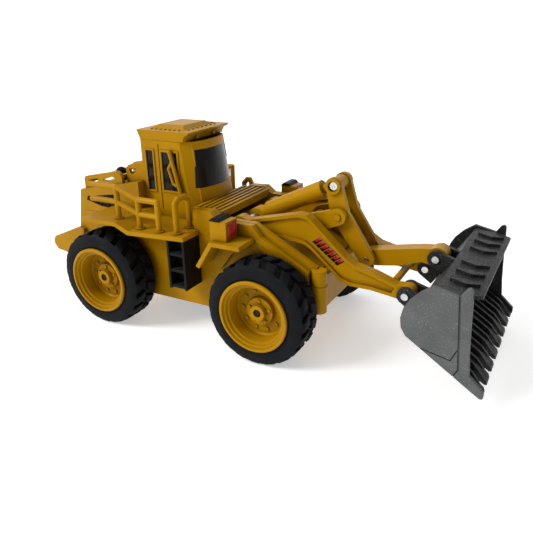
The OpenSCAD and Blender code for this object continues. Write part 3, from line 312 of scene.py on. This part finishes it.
# %% [markdown]
# ### Bright steel
#
# The pins are turned steel, so their scratches run round the pin. The noise is squeezed
# along the pin's axis, which leaves fine rings, and the rings drive the gloss.

# %% Bright steel
STEEL_TONES = ((0.50, 0.50, 0.50), (0.68, 0.68, 0.67))
RING_STRETCH = (1, 12, 1)


def bright_steel():
    finish, tree, shader = new_finish("bright_steel")
    tone = two_tones(tree, object_noise(tree, 200, detail=3), *STEEL_TONES, light_at=0.75)
    tree.links.new(tone, shader.inputs["Base Color"])
    shader.inputs["Metallic"].default_value = 1.0
    rings = object_noise(tree, 600, detail=4, stretch=RING_STRETCH)
    vary_gloss(tree, shader, rings, smooth=0.20, rough=0.38)
    surface_grain(tree, shader, rings, height=0.01 * MM, edge_radius=0.3 * MM)
    return finish


finishes["bright_steel"] = bright_steel()
print("steel nodes:", len(finishes["bright_steel"].node_tree.nodes))

# %% [markdown]
# ### Gunmetal
#
# The bucket is dark plastic with metal flake. Flake is a field of tiny pale specks, each
# in its own cell, over a pebbled dark ground. The outer side plates are painted paler than
# the shell, as painted light where the lamps fall on them, so the ground depends on the distance from
# the toy's middle plane.

# %% The ground, the painted light on the side plates, and the flake
SHELL_TONES = ((0.016, 0.017, 0.016), (0.030, 0.031, 0.030))
# painted light: the paler tone the outer side plates get, as if lit
LIT_SIDE_TONES = ((0.082, 0.085, 0.084), (0.112, 0.116, 0.114))
SIDE_PLATE_FROM = 46.4 * MM
SIDE_PLATE_TO = 47.6 * MM
FLAKE_TONE = (0.34, 0.34, 0.34, 1.0)
FLAKE_SCALE = 1250


def bucket_ground_and_lit_sides(tree, coords):
    """The shell's dark tone, blended into the side plates' paler one, which is painted light."""
    pebbles = object_noise(tree, 70, detail=5, roughness=0.6)
    parts = add_node(tree, "ShaderNodeSeparateXYZ")
    tree.links.new(coords.outputs["Object"], parts.inputs["Vector"])
    aside = add_node(tree, "ShaderNodeMath", operation="ABSOLUTE")
    tree.links.new(parts.outputs["Y"], aside.inputs[0])
    # painted light: picks out the outer side plates for their paler, lit tone
    on_lit_plate = remap(tree, aside.outputs["Value"], SIDE_PLATE_FROM, SIDE_PLATE_TO, 0.0, 1.0)
    blend = add_node(tree, "ShaderNodeMix", data_type="RGBA")
    tree.links.new(on_lit_plate, blend.inputs["Factor"])
    tree.links.new(two_tones(tree, pebbles, *SHELL_TONES), blend.inputs["A"])
    tree.links.new(two_tones(tree, pebbles, *LIT_SIDE_TONES), blend.inputs["B"])
    return blend.outputs["Result"]


def flake_mask(tree, coords):
    """One speck in the middle of a cell, in the cells that a coarser noise picks."""
    cells = add_node(tree, "ShaderNodeTexVoronoi", feature="F1")
    cells.inputs["Scale"].default_value = FLAKE_SCALE
    tree.links.new(coords.outputs["Object"], cells.inputs["Vector"])
    speck = remap(tree, cells.outputs["Distance"], 0.10, 0.30, 1.0, 0.0)
    picked = remap(tree, object_noise(tree, 900, detail=1), 0.44, 0.56, 0.0, 0.62)
    both = add_node(tree, "ShaderNodeMath", operation="MULTIPLY", use_clamp=True)
    tree.links.new(speck, both.inputs[0])
    tree.links.new(picked, both.inputs[1])
    return both.outputs["Value"]


print("flake cells:", round(1 / FLAKE_SCALE / MM, 2), "mm wide")

# %% Gunmetal
def gunmetal():
    finish, tree, shader = new_finish("gunmetal_flake")
    coords = add_node(tree, "ShaderNodeTexCoord")
    mix = add_node(tree, "ShaderNodeMix", data_type="RGBA")
    mix.inputs["B"].default_value = FLAKE_TONE
    tree.links.new(flake_mask(tree, coords), mix.inputs["Factor"])
    tree.links.new(bucket_ground_and_lit_sides(tree, coords), mix.inputs["A"])
    # painted shade: the bucket's inside and corners are darkened strongly by ambient occlusion
    corners = painted_crevice_shade(tree, distance=12 * MM, depth=0.10)
    shaded = multiply(tree, mix.outputs["Result"], corners)
    tree.links.new(shaded, shader.inputs["Base Color"])
    shader.inputs["Specular IOR Level"].default_value = 0.08
    vary_gloss(tree, shader, object_noise(tree, 500, detail=4), smooth=0.36, rough=0.52)
    grain = object_noise(tree, 1100, detail=3)
    surface_grain(tree, shader, grain, height=0.06 * MM, edge_radius=0.4 * MM)
    return finish


finishes["gunmetal_plastic"] = gunmetal()
print("finishes:", ", ".join(sorted(finishes)))

# %% [markdown]
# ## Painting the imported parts
#
# Each part's record names a material slot, so one loop gives every part its finish.

# %% Paint by slot
for node_name, part in nodes.items():
    for place in part.material_slots:
        place.material = finishes[slot_of[node_name]]
print("painted:", len(nodes))

# %% [markdown]
# ## Adding a new piece
#
# A new piece is built as a bmesh in metres and in the toy's own place, so that its object
# stays at the origin. It then rides on a body, and takes its finish from a slot.

# %% A helper that turns a bmesh into a riding piece
def make_piece(name, shape, body, slot_name, smooth_angle=35.0):
    mesh = bpy.data.meshes.new(name)
    shape.to_mesh(mesh)
    shape.free()
    mesh.materials.append(finishes[slot_name])
    mesh.shade_smooth()
    mesh.set_sharp_from_angle(angle=radians(smooth_angle))
    piece = bpy.data.objects.new(name, mesh)
    bpy.context.scene.collection.objects.link(piece)
    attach(piece, body)
    print(name, "on", body + ":", len(mesh.polygons), "faces")
    return piece


def outer_y(box, turn):
    """The place along Y of a box's outer face, on the side that turn names."""
    low, high = box
    return low[1] if turn < 0 else high[1]


print("body of the front tyre:", body_of["front_tyre_right"])

# %% [markdown]
# ## Tyres
#
# A toy loader's tyre is a hollow rubber ring. Its sidewall is smooth and bulges a little,
# right up to the shoulder, and its tread is two rows of chunky slanted lugs. The carcass
# is one profile spun round the axle.

# %% The carcass
TREAD_DEPTH = 2.1 * MM
CARCASS_STEPS = 96


def carcass_profile(radius, inner, outer, bead):
    """Points (radius, place along the axle), from the inner bead over the tread and back."""
    width = outer - inner
    base = radius - TREAD_DEPTH
    inner_wall = [
        (bead, inner + 0.10 * width), (bead + 1.0 * MM, inner + 0.04 * width),
        (bead + 4.2 * MM, inner), (base - 2.6 * MM, inner + 0.01 * width),
        (radius - 1.3 * MM, inner + 0.07 * width),
    ]
    tread_ground = [
        (base, inner + 0.18 * width), (base + 0.2 * MM, inner + 0.5 * width),
        (base, outer - 0.19 * width),
    ]
    show_wall = [
        (radius - 1.2 * MM, outer - 0.085 * width), (radius - 3.0 * MM, outer - 0.035 * width),
        (bead + 4.4 * MM, outer - 0.02 * width), (bead + 2.2 * MM, outer - 0.025 * width),
        (bead + 1.5 * MM, outer - 0.045 * width), (bead, outer - 0.05 * width),
    ]
    hollow = [
        (bead, outer - 0.18 * width), (base - 3 * MM, outer - 0.25 * width),
        (base - 3 * MM, inner + 0.25 * width), (bead, inner + 0.18 * width),
    ]
    return inner_wall + tread_ground + show_wall + hollow


def spin_carcass(points):
    shape = bmesh.new()
    verts = [shape.verts.new((0.0, along, radius)) for radius, along in points]
    edges = [shape.edges.new(pair) for pair in zip(verts, verts[1:] + verts[:1])]
    bmesh.ops.spin(shape, geom=verts + edges, cent=(0, 0, 0), axis=(0, 1, 0), angle=2 * pi,
                   steps=CARCASS_STEPS, use_merge=True, use_duplicate=False)
    bmesh.ops.recalc_face_normals(shape, faces=shape.faces)
    return shape


print("carcass steps:", CARCASS_STEPS, "tread depth:", round(TREAD_DEPTH / MM, 1), "mm")

# %% [markdown]
# ### Lugs
#
# A lug could be a box, but a box wouldn't follow the shoulder. So each lug is a strip
# under the tread's own outline, swept through a few degrees round the axle, twisted into
# a slant, and bevelled. The two rows are mirror images, half a pitch apart.

# %% One lug, and a row of them
LUGS_A_SIDE = 20
LUG_SHARE = 0.60  # of the pitch
LUG_SLANT = 14  # radians of twist for a metre along the axle
LUG_DEPTH = 2.4 * MM
LUG_BEVEL = 0.35 * MM


def axle_turn(angle):
    return Matrix.Rotation(angle, 4, "Y")


def soften(shape, edges, offset):
    bmesh.ops.bevel(shape, geom=edges, offset=offset, offset_type="OFFSET", segments=2,
                    profile=0.5, affect="EDGES", clamp_overlap=True, material=-1)


def lug_shape(outline, angle, slant):
    block = bmesh.new()
    inner = [(radius - LUG_DEPTH, along) for radius, along in outline]
    verts = [block.verts.new((0.0, along, radius)) for radius, along in outline + inner[::-1]]
    face = block.faces.new(verts)
    half_back = axle_turn(-angle / 2).to_3x3()
    bmesh.ops.rotate(block, verts=block.verts, cent=(0, 0, 0), matrix=half_back)
    made = bmesh.ops.extrude_face_region(block, geom=[face])
    moved = [part for part in made["geom"] if isinstance(part, bmesh.types.BMVert)]
    bmesh.ops.rotate(block, verts=moved, cent=(0, 0, 0), matrix=axle_turn(angle).to_3x3())
    bmesh.ops.recalc_face_normals(block, faces=block.faces)
    middle = sum(along for radius, along in outline) / len(outline)
    for vert in block.verts:
        vert.co = axle_turn((vert.co.y - middle) * slant) @ vert.co
    soften(block, block.edges[:], LUG_BEVEL)
    return block


def repeat_round(target, block, count, start):
    """Copies a block count times round the axle into target."""
    mesh = bpy.data.meshes.new("lug_copy")
    block.to_mesh(mesh)
    block.free()
    for index in range(count):
        before = len(target.verts)
        target.from_mesh(mesh)
        target.verts.ensure_lookup_table()
        turn = axle_turn(start + index * 2 * pi / count).to_3x3()
        bmesh.ops.rotate(target, verts=target.verts[before:], cent=(0, 0, 0), matrix=turn)
    bpy.data.meshes.remove(mesh)


print("lugs on a tyre:", 2 * LUGS_A_SIDE)

# %% Build and place the four tyres
BEAD_SEAT = 1.4 * MM  # how far the tyre's bead lies inside the rim's outer edge


def tyre_shape(radius, inner, outer, bead):
    """A tyre about the origin, from inner to outer along the axle; outer is the show side."""
    width = outer - inner
    shape = spin_carcass(carcass_profile(radius, inner, outer, bead))
    near = [
        (radius, inner + 0.56 * width), (radius, outer - 0.20 * width),
        (radius - 0.4 * MM, outer - 0.12 * width), (radius - 1.1 * MM, outer - 0.075 * width),
    ]
    far = [(r, inner + outer - along) for r, along in near]
    pitch = 2 * pi / LUGS_A_SIDE
    sweep = LUG_SHARE * pitch
    repeat_round(shape, lug_shape(near, sweep, LUG_SLANT), LUGS_A_SIDE, 0.0)
    repeat_round(shape, lug_shape(far, sweep, -LUG_SLANT), LUGS_A_SIDE, pitch / 2)
    return shape


for axle in ("front", "rear"):
    for side, turn in SIDES:
        name = f"{axle}_tyre_{side}"
        low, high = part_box(name)
        rim_low, rim_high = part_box(f"{axle}_rim_{side}")
        radius = (high[2] - low[2]) / 2
        bead = (rim_high[2] - rim_low[2]) / 2 - BEAD_SEAT
        start, reach = sorted((abs(low[1]), abs(high[1])))
        shape = tyre_shape(radius, start, reach, bead)
        if turn < 0:
            bmesh.ops.scale(shape, vec=(1, -1, 1), verts=shape.verts)
            bmesh.ops.reverse_faces(shape, faces=shape.faces)
        centre = Vector(((low[0] + high[0]) / 2, 0, (low[2] + high[2]) / 2))
        bmesh.ops.translate(shape, vec=centre, verts=shape.verts)
        tyre = make_piece(f"{name}_tread", shape, body_of[name], "tyre_rubber", 40)
        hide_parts(name)

# %% [markdown]
# ## Small trim
#
# The last pieces are too small to matter to the joints: nuts, a badge, grip ribs and lamp
# flutes. Each is a few blocks or discs set a hair above the surface it belongs to. Even
# at this size an edge catches the light, so every block and disc is bevelled.

# %% Bevelled blocks and discs
def add_copy(target, part, turn, centre):
    """Turns and places a finished part, adds it to target, and frees it."""
    bmesh.ops.rotate(part, verts=part.verts, cent=(0, 0, 0), matrix=turn)
    bmesh.ops.translate(part, vec=centre, verts=part.verts)
    mesh = bpy.data.meshes.new("part_copy")
    part.to_mesh(mesh)
    part.free()
    target.from_mesh(mesh)
    bpy.data.meshes.remove(mesh)


def add_block(target, size, centre, bevel, turn=0.0, lean=0.0):
    """A block with its long side along X, leaned in its own plane, then turned about Y."""
    block = bmesh.new()
    bmesh.ops.create_cube(block, size=1.0)
    bmesh.ops.scale(block, vec=size, verts=block.verts)
    leaned = Matrix(((1, 0, lean), (0, 1, 0), (0, 0, 1))).to_4x4()
    bmesh.ops.transform(block, matrix=leaned, verts=block.verts)
    soften(block, block.edges[:], bevel)
    add_copy(target, block, axle_turn(turn).to_3x3(), centre)


def add_disc(target, radius, thickness, centre, bevel, segments=40):
    """A disc across the Y axis, its two rims bevelled."""
    disc = bmesh.new()
    bmesh.ops.create_cone(disc, cap_ends=True, segments=segments, radius1=radius,
                          radius2=radius, depth=thickness)
    rims = [edge for edge in disc.edges
            if {len(face.verts) > 4 for face in edge.link_faces} == {True, False}]
    soften(disc, rims, bevel)
    add_copy(target, disc, Matrix.Rotation(pi / 2, 3, "X"), centre)


print("block and disc: 2 helpers")

# %% [markdown]
# ### Hub nuts
#
# A dark press nut sits deep in each hub collar and holds the wheel on its axle. It is
# turned from round stock, so it is a wide disc with a smaller one on its face.

# %% Hub nuts
HUB_NUT_R = 1.9 * MM
HUB_DEPTH = 5.7 * MM
NUT_T = 1.2 * MM
NUT_CAP_T = 1.0 * MM
NUT_BEVEL = 0.3 * MM
for axle in ("front", "rear"):
    shape = bmesh.new()
    for side, turn in SIDES:
        low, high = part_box(f"{axle}_rim_{side}")
        seat_y = outer_y((low, high), turn) - turn * (HUB_DEPTH + 1.4 * MM)
        centre = Vector(((low[0] + high[0]) / 2, seat_y, (low[2] + high[2]) / 2))
        cap = centre + Vector((0, turn * NUT_CAP_T / 2, 0))
        add_disc(shape, HUB_NUT_R, NUT_T, centre, NUT_BEVEL)
        add_disc(shape, 0.6 * HUB_NUT_R, NUT_CAP_T, cap, NUT_BEVEL)
    make_piece(f"{axle}_hub_nuts", shape, f"{axle}_wheels", "grey_plastic")
print("hub nuts: 4")

# %% [markdown]
# ### Badge
#
# Each arm carries a badge. It is a plain row of slanted red bars over a black band, and
# says nothing. It could be an image on the arm, but thin blocks keep a crisp edge from
# close by. The row follows the arm's slope, from one point on the web to another.

# %% Badge on the arms
BADGE_FROM = (19.6, 63.9)  # mm ahead of the front axle, and above the ground
BADGE_TO = (34.4, 52.6)
BADGE_BARS = 7
BAR_SIZE = Vector((1.6, 0.16, 3.4)) * MM
BAND_SIZE = Vector((2.3, 0.12, 5.0)) * MM
BAND_DROP = 0.9 * MM
BADGE_LEAN = 0.28
BADGE_BEVEL = 0.03 * MM
WEB_DEPTH = 1.7 * MM  # the arm's web lies this far inside its outer face
rim_low, rim_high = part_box("front_rim_right")
axle_x = (rim_low[0] + rim_high[0]) / 2
start = Vector((axle_x + BADGE_FROM[0] * MM, 0, BADGE_FROM[1] * MM))
end = Vector((axle_x + BADGE_TO[0] * MM, 0, BADGE_TO[1] * MM))
run = end - start
badge_turn = -atan2(run.z, run.x)
across_run = Vector((-run.z, 0, run.x)).normalized()
for side, turn in SIDES:
    web_y = outer_y(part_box(f"lift_arm_{side}"), turn) - turn * WEB_DEPTH
    bars = bmesh.new()
    band = bmesh.new()
    for index in range(BADGE_BARS):
        spot = start + run * ((index + 0.5) / BADGE_BARS)
        spot.y = web_y + turn * BAR_SIZE.y / 2
        add_block(bars, BAR_SIZE, spot, BADGE_BEVEL, badge_turn, BADGE_LEAN)
        under = spot - across_run * BAND_DROP
        under.y = web_y + turn * BAND_SIZE.y / 3
        add_block(band, BAND_SIZE, under, BADGE_BEVEL, badge_turn, BADGE_LEAN)
    make_piece(f"badge_bars_{side}", bars, "lift_arms", "red_plastic")
    make_piece(f"badge_band_{side}", band, "lift_arms", "black_plastic")
print("badge bars:", 2 * BADGE_BARS)

# %% [markdown]
# ### Grip ribs and lamp flutes
#
# The ladder treads have raised ribs that would stop a boot from slipping, and the red
# lamps have upright flutes. Both are even rows of thin blocks, so each row is spread over
# its part's own box.

# %% Grip ribs on the ladder treads and flutes on the lamp lenses
LADDER_STEPS = 3
TREAD_RIBS = 5
TREAD_PITCH = 9.6 * MM
TREAD_TOP = 2.2 * MM
TREAD_FROM = 0.9 * MM
TREAD_RUN = 4.6 * MM
RIB_SIZE = (0.45 * MM, 0.5 * MM)
RIB_BEVEL = 0.1 * MM
LADDER_RAILS = 3.6 * MM
LENS_FLUTES = 6
FLUTE_SIZE = (0.5 * MM, 0.7 * MM)
FLUTE_BEVEL = 0.15 * MM
FLUTE_MARGIN = 1.2 * MM
for side, turn in SIDES:
    low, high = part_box(f"ladder_{side}")
    rib_size = (high[0] - low[0] - LADDER_RAILS, *RIB_SIZE)
    ribs = bmesh.new()
    for step in range(LADDER_STEPS):
        rib_z = low[2] + TREAD_TOP + step * TREAD_PITCH + 0.15 * MM
        for index in range(TREAD_RIBS):
            along = (index + 0.5) / TREAD_RIBS * TREAD_RUN + TREAD_FROM
            place = Vector(((low[0] + high[0]) / 2, outer_y((low, high), turn) - turn * along, rib_z))
            add_block(ribs, rib_size, place, RIB_BEVEL)
    make_piece(f"ladder_grip_{side}", ribs, "chassis", "black_plastic")
    low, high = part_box(f"headlight_lens_{side}")
    flute_size = (*FLUTE_SIZE, high[2] - low[2] - FLUTE_MARGIN)
    flutes = bmesh.new()
    for index in range(LENS_FLUTES):
        across = low[1] + (index + 0.5) / LENS_FLUTES * (high[1] - low[1])
        place = Vector((high[0] + 0.05 * MM, across, (low[2] + high[2]) / 2))
        add_block(flutes, flute_size, place, FLUTE_BEVEL)
    make_piece(f"lens_flutes_{side}", flutes, "chassis", "red_plastic")
print("grip ribs:", 2 * LADDER_STEPS * TREAD_RIBS, "flutes:", 2 * LENS_FLUTES)

# %% [markdown]
# ## Floor
#
# A studio floor rises into a wall without a corner, so no line crosses behind the toy. It
# is one row of edges, flat, then a quarter circle, then upright, extruded sideways. A
# little glow of its own keeps it pale without a lamp that would flatten the toy.

# %% Floor
BACKDROP_TURN = radians(29.32)
FLOOR_NEAR, FLOOR_FAR, FLOOR_SIDE = 5.0, 3.0, 7.0
WALL_HEIGHT = 4.0
ARC_STEPS = 8
across = Vector((cos(BACKDROP_TURN), sin(BACKDROP_TURN), 0.0))
ahead = Vector((-sin(BACKDROP_TURN), cos(BACKDROP_TURN), 0.0))
arc = [step * pi / 2 / ARC_STEPS for step in range(1, ARC_STEPS + 1)]
sweep = [(-FLOOR_NEAR, 0.0), (FLOOR_FAR, 0.0)]
sweep += [(FLOOR_FAR + sin(angle), 1.0 - cos(angle)) for angle in arc]
sweep.append((FLOOR_FAR + 1.0, WALL_HEIGHT))
floor_shape = bmesh.new()
row = [floor_shape.verts.new(ahead * reach - across * FLOOR_SIDE + Vector((0, 0, rise)))
       for reach, rise in sweep]
row_edges = [floor_shape.edges.new(pair) for pair in zip(row, row[1:])]
made = bmesh.ops.extrude_edge_only(floor_shape, edges=row_edges)
moved = [part for part in made["geom"] if isinstance(part, bmesh.types.BMVert)]
bmesh.ops.translate(floor_shape, vec=across * 2 * FLOOR_SIDE, verts=moved)
floor_shape.normal_update()
if sum(face.normal.z for face in floor_shape.faces) < 0:
    bmesh.ops.reverse_faces(floor_shape, faces=floor_shape.faces)
floor_mesh = bpy.data.meshes.new("floor")
floor_shape.to_mesh(floor_mesh)
floor_shape.free()
floor = bpy.data.objects.new("floor", floor_mesh)
bpy.context.scene.collection.objects.link(floor)
print("floor faces:", len(floor_mesh.polygons))

# %% The floor's finish
floor_finish, floor_tree, floor_shader = new_finish("pale_floor")
floor_tone = two_tones(floor_tree, object_noise(floor_tree, 3, detail=2),
                       (0.80, 0.80, 0.80), (0.84, 0.84, 0.84), light_at=0.7)
floor_tree.links.new(floor_tone, floor_shader.inputs["Base Color"])
floor_shader.inputs["Roughness"].default_value = 0.7
floor_shader.inputs["Emission Color"].default_value = (1.0, 1.0, 1.0, 1.0)
floor_shader.inputs["Emission Strength"].default_value = 0.42
floor.data.materials.append(floor_finish)
print("floor finish:", floor_finish.name)

# %% [markdown]
# ## Lights
#
# Product light is soft and comes mostly from above. A broad key over the left shoulder
# shapes the body, a small panel beside it makes the bright edges, and the pale floor
# fills from below. The Standard view keeps the deep ochre that a filmic view would wash
# out.

# %% Lights
world = bpy.data.worlds.new("studio")
bpy.context.scene.world = world
world.use_nodes = True
sky = world.node_tree.nodes["Background"]
sky.inputs["Color"].default_value = (1.0, 1.0, 1.0, 1.0)
sky.inputs["Strength"].default_value = 0.42
bpy.context.scene.view_settings.view_transform = "Standard"


def hang_light(name, light, place, target=(0.0, 0.0, 0.0)):
    """Puts a light at place and aims it at target."""
    lamp = bpy.data.objects.new(name, light)
    lamp.location = place
    lamp.rotation_euler = (Vector(place) - Vector(target)).to_track_quat("Z", "Y").to_euler()
    bpy.context.scene.collection.objects.link(lamp)


def soft_sky(name, place, strength, spread):
    light = bpy.data.lights.new(name, "SUN")
    light.energy = strength
    light.angle = radians(spread)
    hang_light(name, light, place)


def soft_panel(name, place, target, size, power):
    light = bpy.data.lights.new(name, "AREA")
    light.shape = "RECTANGLE"
    light.size, light.size_y = size
    light.energy = power
    hang_light(name, light, place, target)


TOY_MIDDLE = (0.0, 0.0, 0.05)
soft_sky("broad_key", (-0.62, -0.62, 0.66), strength=2.1, spread=24)
soft_sky("broad_top", (-0.1, 0.2, 1.0), strength=0.6, spread=50)
soft_panel("left_panel", (-0.55, -0.45, 0.55), TOY_MIDDLE, size=(0.3, 0.4), power=1.6)
print("lights:", len(bpy.data.lights))

# %% [markdown]
# ## Camera
#
# The camera stands a little above the toy, at its front right. It is turned 29.3 degrees
# from the side view and looks down by 22.4 degrees, with a slight roll. A track constraint
# couldn't give the roll, so the three axes are worked out and put in a matrix. Its place
# is measured from the front axle, so it follows the toy if the wheelbase changes.

# %% Camera
AZIMUTH, ELEVATION, ROLL = radians(29.32), radians(22.41), radians(-1.19)
LENS_MM, SENSOR_MM = 38.79, 36.0
FROM_AXLE = (0.13576, -0.28217, 0.16575)
back = Vector((sin(AZIMUTH) * cos(ELEVATION), -cos(AZIMUTH) * cos(ELEVATION), sin(ELEVATION)))
level = Vector((cos(AZIMUTH), sin(AZIMUTH), 0.0))
right = level * cos(ROLL) + back.cross(level) * sin(ROLL)
axes = Matrix((right, back.cross(right), back)).transposed().to_4x4()
camera_data = bpy.data.cameras.new("camera")
camera_data.lens = LENS_MM
camera_data.sensor_width = SENSOR_MM
camera = bpy.data.objects.new("camera", camera_data)
place = Vector((axle_x, 0.0, 0.0)) + Vector(FROM_AXLE)
camera.matrix_world = Matrix.Translation(place) @ axes
bpy.context.scene.collection.objects.link(camera)
bpy.context.scene.camera = camera
print("camera at", [round(v, 4) for v in place])
